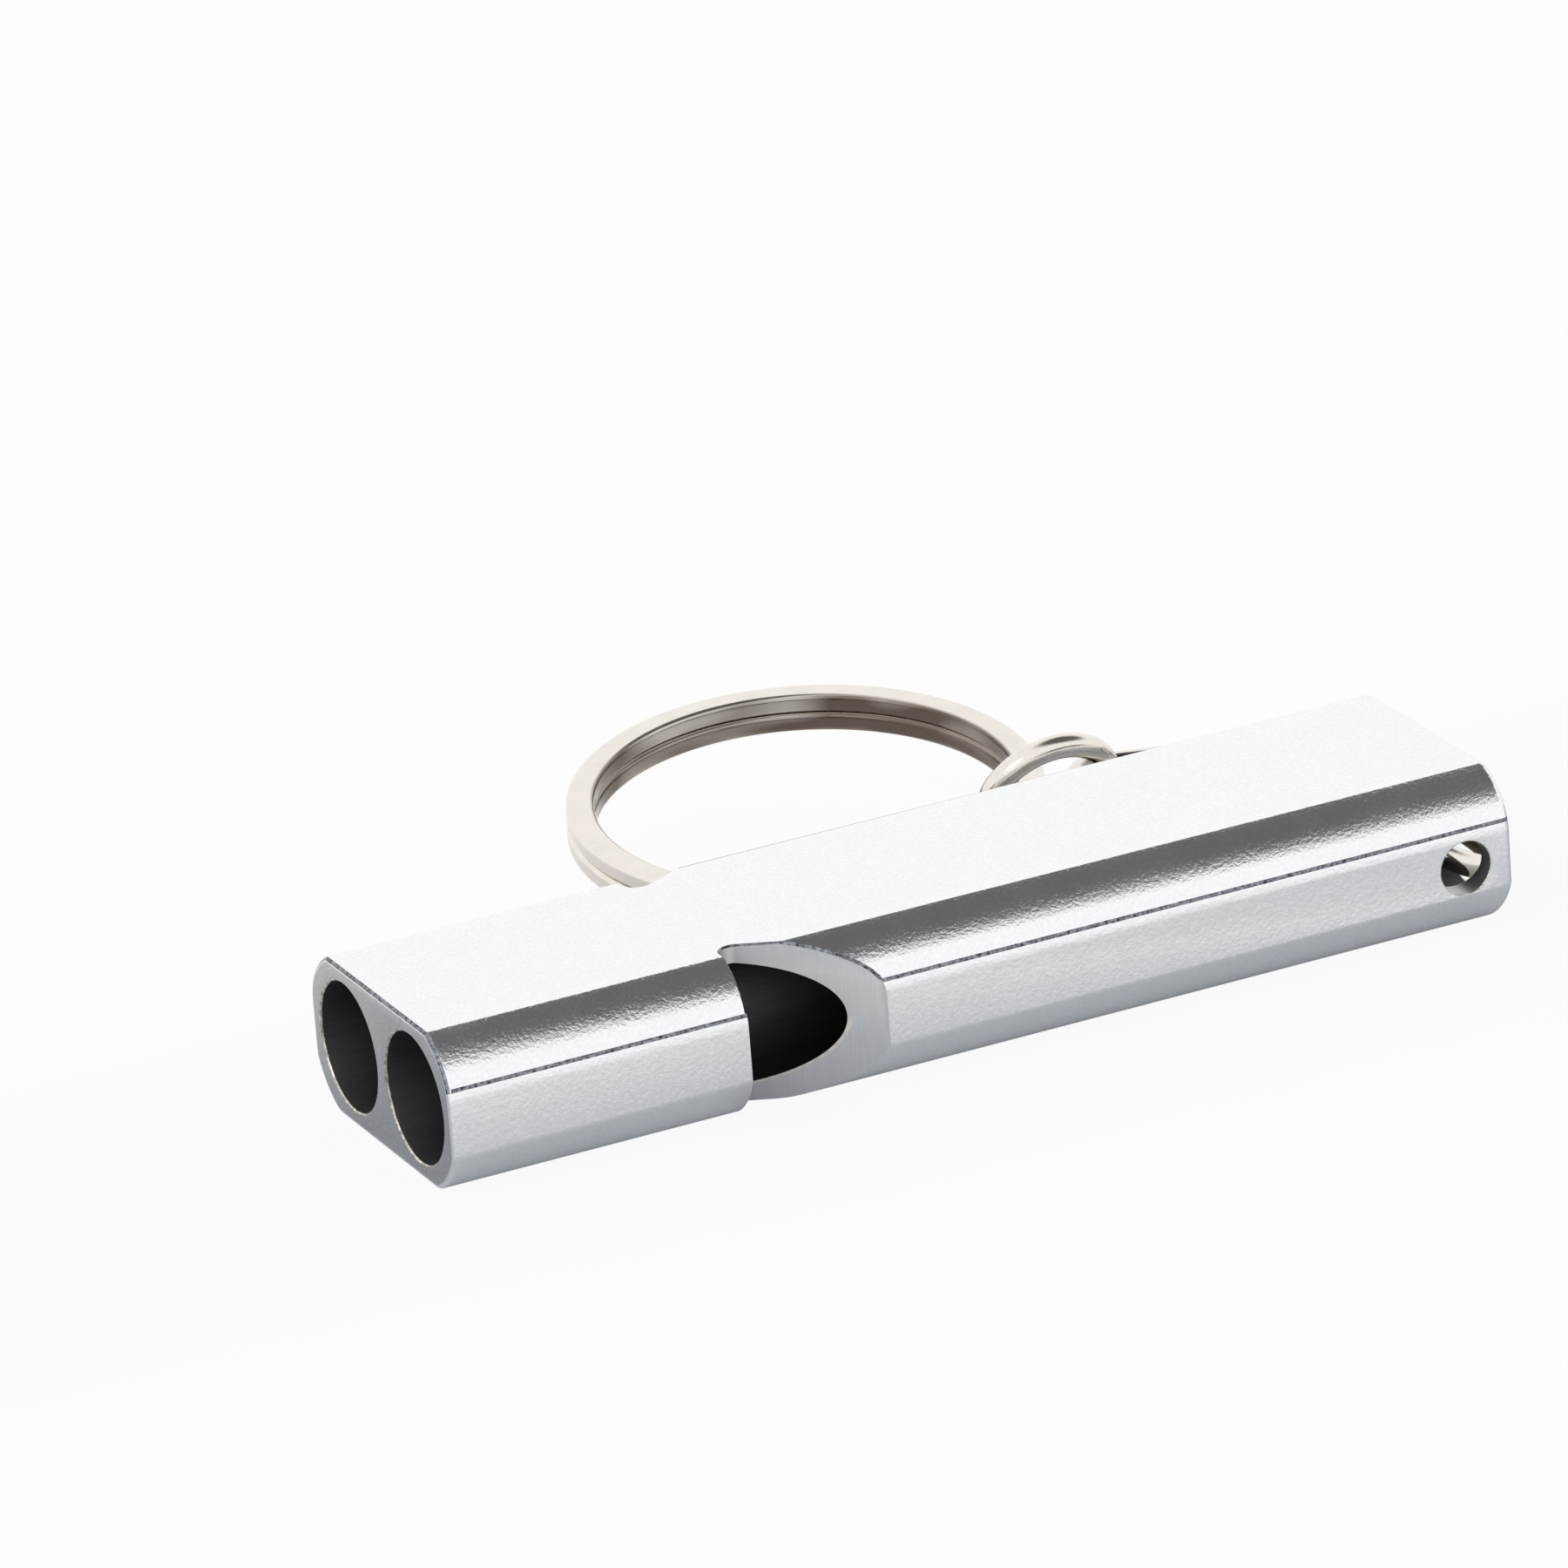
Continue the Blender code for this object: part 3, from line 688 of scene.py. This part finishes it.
class WHISTLE_OT_plugs(Operator):
    """Make the plugs that leave the windways, and the stoppers that tune the bores"""

    bl_idname = "whistle.plugs"
    bl_label = "Plugs and Stoppers"

    def execute(self, context):
        sizes = context.scene.whistle_sizes
        tint = context.scene.whistle_finishes.turned
        bore_offset = sizes.bore_spacing / 2
        metal = turned_aluminium(tint, bore_offset)
        radius = sizes.bore / 2 - PRESS_FIT
        flat_angle = math.acos((sizes.bore / 2 - sizes.windway) / radius)
        rounded = quarter_round(sizes.edge, RIM_STEPS)
        for side, name in ((-1, "near"), (1, "far")):
            axis = (side * bore_offset, BODY_MIDDLE)
            node = "fipple_plug_" + name
            low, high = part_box(node)
            outline = arc((0, 0), radius, flat_angle, 2 * math.pi - flat_angle, PLUG_SIDES)
            if side < 0:
                outline = [Vector((-spot.x, spot.y)) for spot in reversed(outline)]
            mesh = bar("windway_" + name, outline, low.x, high.x, axis, PLUG_ROUNDS, [metal], [0, 0])
            finish_piece("windway_" + name, shaded(mesh, PLUG_SHARP), "whistle", node)
            node = "tail_stopper_" + name
            low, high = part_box(node)
            profile = [(low.x + back, radius - inwards) for inwards, back in reversed(rounded)]
            profile += [(high.x - back, radius - inwards) for inwards, back in rounded]
            profile += [(high.x, DIMPLE_RADIUS), (high.x - DIMPLE_RADIUS, DIMPLE_POINT)]
            rings = turned_rings(profile, axis, PLUG_SIDES)
            mesh = lofted("stopper_" + name, rings, [metal], [0] * (len(rings) + 1))
            finish_piece("stopper_" + name, shaded(mesh, STOPPER_SHARP), "whistle", node)
        return {"FINISHED"}


# Wire rings


def wire_frame(node):
    """Find a wire's mean point, its own axes, and the way in its plane from there to the ring's middle."""
    spots = np.array([vertex.co[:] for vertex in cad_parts[node].data.vertices])
    mean = spots.mean(axis=0)
    axes = np.linalg.svd(spots - mean, full_matrices=False)[2]
    flat = (spots - mean) @ axes[:2].T
    terms = np.column_stack((2 * flat, np.ones(len(flat))))
    offset = np.linalg.lstsq(terms, (flat ** 2).sum(axis=1), rcond=None)[0][:2]
    return mean, axes, offset


def wire_matrix(node, toward_gap=False):
    """Carry a ring's own frame to where its solid is, with X along it or towards the gap in its wire."""
    mean, axes, offset = wire_frame(node)
    along = Vector(offset @ axes[:2]) if toward_gap else Vector(axes[0])
    along.normalize()
    normal = Vector(np.cross(axes[0], axes[1]))
    across = normal.cross(along)
    matrix = Matrix((along, across, normal)).transposed().to_4x4()
    matrix.translation = Vector(mean + offset @ axes[:2])
    return matrix


def new_tree(name, inputs):
    """Start a tree of geometry nodes with named inputs, and give back the tree and its inputs."""
    tree = bpy.data.node_groups.new(name, "GeometryNodeTree")
    tree.is_modifier = True
    for label, kind in inputs:
        tree.interface.new_socket(label, in_out="INPUT", socket_type=kind)
    tree.interface.new_socket("Geometry", in_out="OUTPUT", socket_type="NodeSocketGeometry")
    return tree, tree.nodes.new("NodeGroupInput").outputs


def end_tree(tree, mesh, metal):
    """End a tree in smooth shading, real geometry and a material."""
    soft = add_node(tree, "GeometryNodeSetShadeSmooth", {}, {"Geometry": mesh}).outputs[0]
    real = add_node(tree, "GeometryNodeRealizeInstances", {}, {"Geometry": soft}).outputs[0]
    done = add_node(tree, "GeometryNodeSetMaterial", {}, {"Geometry": real, "Material": metal}).outputs[0]
    add_node(tree, "NodeGroupOutput", {}, {0: done})
    return tree


def mark_inner(tree, mesh, half, radius, reach):
    """Store on a bent wire how far each point lies on its inner side, from 0 to 1."""
    spot = add_node(tree, "GeometryNodeInputPosition").outputs[0]
    axes = add_node(tree, "ShaderNodeSeparateXYZ", {}, {0: spot}).outputs
    wide = add_node(tree, "ShaderNodeMath", ABSOLUTE, {0: axes["X"]}).outputs[0]
    past = add_node(tree, "ShaderNodeMath", SUBTRACT, {0: wide, 1: half}).outputs[0]
    round_end = add_node(tree, "ShaderNodeMath", MAXIMUM, {0: past, 1: 0.0}).outputs[0]
    flat = add_node(tree, "ShaderNodeCombineXYZ", {}, {"X": round_end, "Y": axes["Y"]}).outputs[0]
    out = add_node(tree, "ShaderNodeVectorMath", {"operation": "LENGTH"}, {0: flat}).outputs["Value"]
    inwards = add_node(tree, "ShaderNodeMath", SUBTRACT, {0: radius, 1: out}).outputs[0]
    share = add_node(tree, "ShaderNodeMath", DIVIDE, {0: inwards, 1: reach}).outputs[0]
    # The nickel shader paints shade on the inner side from this value.
    return add_node(tree, "GeometryNodeStoreNamedAttribute", {"data_type": "FLOAT", "domain": "POINT"}, {
        "Geometry": mesh, "Name": "inner", "Value": share,
    }).outputs[0]


def closed_wire_tree():
    """Bend round wire into a ring or an oval link, with a fine seam where its ends meet."""
    tree, given = new_tree("closed_wire", (
        ("Radius", "NodeSocketFloat"), ("Straight", "NodeSocketFloat"), ("Wire Diameter", "NodeSocketFloat"),
        ("Joint Width", "NodeSocketFloat"), ("Material", "NodeSocketMaterial"),
    ))
    circle = add_node(tree, "GeometryNodeCurvePrimitiveCircle", {}, {
        "Resolution": RING_POINTS, "Radius": given["Radius"],
    }).outputs[0]
    spot = add_node(tree, "GeometryNodeInputPosition").outputs[0]
    along = add_node(tree, "ShaderNodeSeparateXYZ", {}, {0: spot}).outputs["X"]
    end = add_node(tree, "ShaderNodeMath", SIGN, {0: along}).outputs[0]
    half = add_node(tree, "ShaderNodeMath", MULTIPLY, {0: given["Straight"], 1: 0.5}).outputs[0]
    shift = add_node(tree, "ShaderNodeMath", MULTIPLY, {0: end, 1: half}).outputs[0]
    offset = add_node(tree, "ShaderNodeCombineXYZ", {}, {"X": shift}).outputs[0]
    path = add_node(tree, "GeometryNodeSetPosition", {}, {"Geometry": circle, "Offset": offset}).outputs[0]
    part = add_node(tree, "GeometryNodeSplineParameter").outputs["Factor"]
    away = add_node(tree, "ShaderNodeMath", SUBTRACT, {0: part, 1: 0.5}).outputs[0]
    apart = add_node(tree, "ShaderNodeMath", ABSOLUTE, {0: away}).outputs[0]
    round_length = add_node(tree, "ShaderNodeMath", MULTIPLY, {0: given["Radius"], 1: 2 * math.pi}).outputs[0]
    distance = add_node(tree, "ShaderNodeMath", MULTIPLY, {0: apart, 1: round_length}).outputs[0]
    seam = add_node(tree, "ShaderNodeMapRange", SMOOTH, {
        "Value": distance, "From Min": 0.0, "From Max": given["Joint Width"],
        "To Min": SEAM_THICKNESS, "To Max": 1.0,
    }).outputs[0]
    wire = add_node(tree, "ShaderNodeMath", MULTIPLY, {0: given["Wire Diameter"], 1: 0.5}).outputs[0]
    section = add_node(tree, "GeometryNodeCurvePrimitiveCircle", {}, {
        "Resolution": WIRE_SIDES, "Radius": wire,
    }).outputs[0]
    mesh = add_node(tree, "GeometryNodeCurveToMesh", {}, {
        "Curve": path, "Profile Curve": section, "Scale": seam,
    }).outputs[0]
    reach = add_node(tree, "ShaderNodeMath", MULTIPLY, {0: wire, 1: INNER_SHARE}).outputs[0]
    return end_tree(tree, mark_inner(tree, mesh, half, given["Radius"], reach), given["Material"])


def split_ring_tree():
    """Wind flat wire into two turns: a low turn, a short climb past its own start, then a high turn."""
    tree, given = new_tree("split_ring", (
        ("Radius", "NodeSocketFloat"), ("Wire Width", "NodeSocketFloat"), ("Wire Height", "NodeSocketFloat"),
        ("Corner", "NodeSocketFloat"), ("Turn Step", "NodeSocketFloat"), ("Climb Angle", "NodeSocketFloat"),
        ("Material", "NodeSocketMaterial"),
    ))
    climb = given["Climb Angle"]
    line = add_node(tree, "GeometryNodeCurvePrimitiveLine").outputs[0]
    many = add_node(tree, "GeometryNodeResampleCurve", {}, {"Curve": line, "Count": KEY_POINTS}).outputs[0]
    part = add_node(tree, "GeometryNodeSplineParameter").outputs["Factor"]
    last = add_node(tree, "ShaderNodeMath", SUBTRACT, {0: 4 * math.pi, 1: climb}).outputs[0]
    angle = add_node(tree, "ShaderNodeMapRange", {}, {
        "Value": part, "To Min": climb, "To Max": last,
    }).outputs[0]
    before = add_node(tree, "ShaderNodeMath", SUBTRACT, {0: 2 * math.pi, 1: climb}).outputs[0]
    after = add_node(tree, "ShaderNodeMath", ADD, {0: 2 * math.pi, 1: climb}).outputs[0]
    top = add_node(tree, "ShaderNodeMath", MULTIPLY, {0: given["Turn Step"], 1: 0.5}).outputs[0]
    bottom = add_node(tree, "ShaderNodeMath", MULTIPLY, {0: given["Turn Step"], 1: -0.5}).outputs[0]
    height = add_node(tree, "ShaderNodeMapRange", SMOOTH, {
        "Value": angle, "From Min": before, "From Max": after, "To Min": bottom, "To Max": top,
    }).outputs[0]
    spots = []
    for way in (COSINE, SINE):
        turn = add_node(tree, "ShaderNodeMath", way, {0: angle}).outputs[0]
        spots.append(add_node(tree, "ShaderNodeMath", MULTIPLY, {0: turn, 1: given["Radius"]}).outputs[0])
    spot = add_node(tree, "ShaderNodeCombineXYZ", {}, {"X": spots[0], "Y": spots[1], "Z": height}).outputs[0]
    path = add_node(tree, "GeometryNodeSetPosition", {}, {"Geometry": many, "Position": spot}).outputs[0]
    upright = add_node(tree, "GeometryNodeSetCurveNormal", {"mode": "Z_UP"}, {"Curve": path}).outputs[0]
    flat = add_node(tree, "GeometryNodeCurvePrimitiveQuadrilateral", {}, {
        "Width": given["Wire Width"], "Height": given["Wire Height"],
    }).outputs[0]
    section = add_node(tree, "GeometryNodeFilletCurve", {"mode": "POLY"}, {
        "Curve": flat, "Count": KEY_CORNER_POINTS, "Radius": given["Corner"], "Limit Radius": True,
    }).outputs[0]
    mesh = add_node(tree, "GeometryNodeCurveToMesh", {}, {
        "Curve": upright, "Profile Curve": section, "Fill Caps": True,
    }).outputs[0]
    half_width = add_node(tree, "ShaderNodeMath", MULTIPLY, {0: given["Wire Width"], 1: 0.5}).outputs[0]
    inner_face = add_node(tree, "ShaderNodeMath", SUBTRACT, {0: given["Radius"], 1: half_width}).outputs[0]
    inner_edge = add_node(tree, "ShaderNodeMath", ADD, {0: inner_face, 1: given["Corner"]}).outputs[0]
    return end_tree(tree, mark_inner(tree, mesh, 0.0, inner_edge, given["Corner"]), given["Material"])


def wound(name, tree, values, matrix):
    """Run a tree with its values, and keep the result where the solid is."""
    holder = bpy.data.objects.new(name, bpy.data.meshes.new(name + "_start"))
    bpy.context.scene.collection.objects.link(holder)
    nodes = holder.modifiers.new("nodes", "NODES")
    nodes.node_group = tree
    sockets = {item.name: item.identifier for item in tree.interface.items_tree if item.in_out == "INPUT"}
    for label, value in values.items():
        nodes[sockets[label]] = value
    mesh = plain_mesh(holder, name)
    if not mesh.polygons:
        raise RuntimeError(name + " came out empty")
    mesh.transform(matrix)
    return shaded(mesh, WIRE_SHARP)


class WHISTLE_OT_rings(Operator):
    """Make the round rings and the oval links of the chain"""

    bl_idname = "whistle.rings"
    bl_label = "Rings and Links"

    def execute(self, context):
        sizes = context.scene.whistle_wires
        tints = context.scene.whistle_finishes
        metal = nickel_plate(tints.nickel, tints.nickel_inner_shade)
        tree = closed_wire_tree()
        rows = (
            ("tail_ring", "tail_ring", sizes.tail_ring, 0.0, sizes.ring_wire),
            ("chain_link_first", "first_link", sizes.link_end, sizes.first_link, sizes.link_wire),
            ("chain_link_second", "second_link", sizes.link_end, sizes.second_link, sizes.link_wire),
            ("small_ring", "small_ring", sizes.small_ring, 0.0, sizes.ring_wire),
        )
        for node, body, radius, straight, wire in rows:
            values = {
                "Radius": radius, "Straight": straight, "Wire Diameter": wire,
                "Joint Width": sizes.joint_width, "Material": metal,
            }
            mesh = wound(body + "_wire", tree, values, wire_matrix(node))
            finish_piece(body + "_wire", mesh, body, node)
        return {"FINISHED"}


class WHISTLE_OT_key_ring(Operator):
    """Make the split key ring as one unbroken flat wire"""

    bl_idname = "whistle.key_ring"
    bl_label = "Key Ring"

    def execute(self, context):
        sizes = context.scene.whistle_wires
        tints = context.scene.whistle_finishes
        ready = bpy.data.materials.get("nickel_plate_painted_inner_shade")
        values = {
            "Radius": sizes.key_ring, "Wire Width": sizes.key_width, "Wire Height": sizes.key_height,
            "Corner": sizes.key_corner, "Turn Step": sizes.key_step, "Climb Angle": KEY_CLIMB,
            "Material": ready or nickel_plate(tints.nickel, tints.nickel_inner_shade),
        }
        mesh = wound("key_ring_wire", split_ring_tree(), values, wire_matrix("key_ring", toward_gap=True))
        finish_piece("key_ring_wire", mesh, "key_ring", "key_ring")
        return {"FINISHED"}


# Stage


def pale_floor(tint, shadow_tint):
    """A pale matt board, seen nearly white, that keeps a soft shadow and carries a painted shadow that greys
    it towards the object.
    """
    # The metal mirrors the painted shadow near the object and the white beyond it, so its sides show a clear
    # edge.
    board = bpy.data.materials.new("pale_board_painted_shadow")
    board.use_nodes = True
    tree = board.node_tree
    tree.nodes.clear()
    spot = add_node(tree, "ShaderNodeTexCoord").outputs["Object"]
    side = add_node(tree, "ShaderNodeSeparateXYZ", {}, {"Vector": spot}).outputs["Y"]
    away = add_node(tree, "ShaderNodeMath", ABSOLUTE, {0: side}).outputs[0]
    # Painted shadow: the board's colour greys towards the object and turns pale further out.
    far = add_node(tree, "ShaderNodeMapRange", SMOOTH, {
        "Value": away, "From Min": BOARD_PAINTED_SHADOW[0], "From Max": BOARD_PAINTED_SHADOW[1],
    }).outputs[0]
    board_with_painted_shadow = add_node(tree, "ShaderNodeMix", COLOURS, {0: far, 6: (*shadow_tint, 1), 7: (*tint, 1)}).outputs[2]
    matt = add_node(tree, "ShaderNodeBsdfDiffuse", {}, {"Color": board_with_painted_shadow}).outputs[0]
    white = add_node(tree, "ShaderNodeEmission", {}, {"Color": (1, 1, 1, 1), "Strength": 1.0}).outputs[0]
    path = add_node(tree, "ShaderNodeLightPath").outputs
    seen = add_node(tree, "ShaderNodeMath", MULTIPLY, {0: path["Is Camera Ray"], 1: WHITE_SEEN}).outputs[0]
    bent = add_node(tree, "ShaderNodeMath", MAXIMUM, {
        0: path["Is Glossy Ray"], 1: path["Is Transmission Ray"],
    }).outputs[0]
    # Mirrored rays see little white near the object, so reflections there show the painted shadow.
    clear = add_node(tree, "ShaderNodeMapRange", SMOOTH, {
        "Value": away, "From Min": BOARD_WHITE[0], "From Max": BOARD_WHITE[1],
        "To Min": WHITE_MIRRORED, "To Max": WHITE_SEEN,
    }).outputs[0]
    mirrored = add_node(tree, "ShaderNodeMath", MULTIPLY, {0: bent, 1: clear}).outputs[0]
    share = add_node(tree, "ShaderNodeMath", MAXIMUM, {0: seen, 1: mirrored}).outputs[0]
    both = add_node(tree, "ShaderNodeMixShader", {}, {0: share, 1: matt, 2: white}).outputs[0]
    add_node(tree, "ShaderNodeOutputMaterial", {}, {"Surface": both})
    return board


def studio_world():
    """A white room with a black card overhead, which draws the dark band on polished metal."""
    place, reach, level = OVERHEAD_CARD
    world = bpy.data.worlds.new("studio")
    world.use_nodes = True
    tree = world.node_tree
    tree.nodes.clear()
    spot = add_node(tree, "ShaderNodeTexCoord").outputs["Generated"]
    way = add_node(tree, "ShaderNodeVectorMath", {"operation": "NORMALIZE"}, {0: spot}).outputs[0]
    apart = add_node(tree, "ShaderNodeVectorMath", {"operation": "DISTANCE"}, {
        0: way, 1: Vector(place).normalized(),
    }).outputs["Value"]
    shade = add_node(tree, "ShaderNodeMapRange", SMOOTH, {
        "Value": apart, "From Min": reach[0], "From Max": reach[1], "To Min": level, "To Max": ROOM_LEVEL,
    }).outputs[0]
    light = add_node(tree, "ShaderNodeBackground", {}, {"Color": (1, 1, 1, 1), "Strength": shade}).outputs[0]
    add_node(tree, "ShaderNodeOutputWorld", {}, {"Surface": light})
    return world


def camera_turn():
    """Turn the camera to the photograph's view, with its roll."""
    forward = Vector(CAMERA_FORWARD).normalized()
    right = forward.cross(Vector((0, 0, 1))).normalized()
    down = forward.cross(right)
    roll = math.radians(CAMERA_ROLL)
    rolled = math.cos(roll) * right + math.sin(roll) * down
    up = rolled.cross(forward)
    return Matrix((rolled, up, -forward)).transposed().to_4x4()


class WHISTLE_OT_stage(Operator):
    """Lay the floor, light the object and set the camera"""

    bl_idname = "whistle.stage"
    bl_label = "Stage"

    def execute(self, context):
        scene = context.scene
        level = min(cad_box[0][2], 0.0) - BOARD_DROP
        corners = [(-1, -1), (1, -1), (1, 1), (-1, 1)]
        board = bpy.data.meshes.new("floor")
        board.from_pydata([(x * BOARD_REACH, y * BOARD_REACH, level) for x, y in corners], [], [(0, 1, 2, 3)])
        board.materials.append(pale_floor(scene.whistle_finishes.floor, scene.whistle_finishes.floor_painted_shadow))
        floor = bpy.data.objects.new("floor", board)
        scene.collection.objects.link(floor)
        scene.world = studio_world()
        lamp = bpy.data.lights.new("front_soft_box", "AREA")
        lamp.shape = "RECTANGLE"
        lamp.size, lamp.size_y = SOFT_BOX_SIZE
        lamp.energy = SOFT_BOX_WATTS
        box = bpy.data.objects.new("front_soft_box", lamp)
        box.location = SOFT_BOX_PLACE
        box.rotation_euler = (-Vector(SOFT_BOX_PLACE)).to_track_quat("-Z", "Y").to_euler()
        scene.collection.objects.link(box)
        camera = bpy.data.cameras.new("camera")
        camera.sensor_width = CAMERA_SENSOR
        camera.lens = CAMERA_LENS
        camera.clip_start = CAMERA_NEAR
        view = bpy.data.objects.new("camera", camera)
        view.matrix_world = Matrix.Translation(CAMERA_PLACE) @ camera_turn()
        scene.collection.objects.link(view)
        scene.camera = view
        scene.view_settings.view_transform = "Standard"
        return {"FINISHED"}


class WHISTLE_PT_panel(Panel):
    """Lists the whistle's pieces in the sidebar"""

    bl_label = "Survival Whistle"
    bl_space_type = "VIEW_3D"
    bl_region_type = "UI"
    bl_category = "Whistle"

    def draw(self, context):
        for operator in OPERATORS:
            self.layout.operator(operator.bl_idname)
        for group in ("whistle_sizes", "whistle_wires", "whistle_finishes"):
            box = self.layout.box()
            settings = getattr(context.scene, group)
            for name in settings.__annotations__:
                box.prop(settings, name)


OPERATORS = (
    WHISTLE_OT_body,
    WHISTLE_OT_plugs,
    WHISTLE_OT_rings,
    WHISTLE_OT_key_ring,
    WHISTLE_OT_stage,
)
GROUPS = (WhistleSizes, WireSizes, Finishes)


def register():
    """Register the settings, the operators and the panel."""
    for item in GROUPS + OPERATORS + (WHISTLE_PT_panel,):
        bpy.utils.register_class(item)
    bpy.types.Scene.whistle_sizes = PointerProperty(type=WhistleSizes)
    bpy.types.Scene.whistle_wires = PointerProperty(type=WireSizes)
    bpy.types.Scene.whistle_finishes = PointerProperty(type=Finishes)


def unregister():
    """Take everything out again."""
    del bpy.types.Scene.whistle_finishes
    del bpy.types.Scene.whistle_wires
    del bpy.types.Scene.whistle_sizes
    for item in reversed(GROUPS + OPERATORS + (WHISTLE_PT_panel,)):
        bpy.utils.unregister_class(item)


def main():
    """Dress the whistle."""
    register()
    bpy.ops.whistle.body()
    bpy.ops.whistle.plugs()
    bpy.ops.whistle.rings()
    bpy.ops.whistle.key_ring()
    bpy.ops.whistle.stage()


if __name__ == "__main__":
    main()
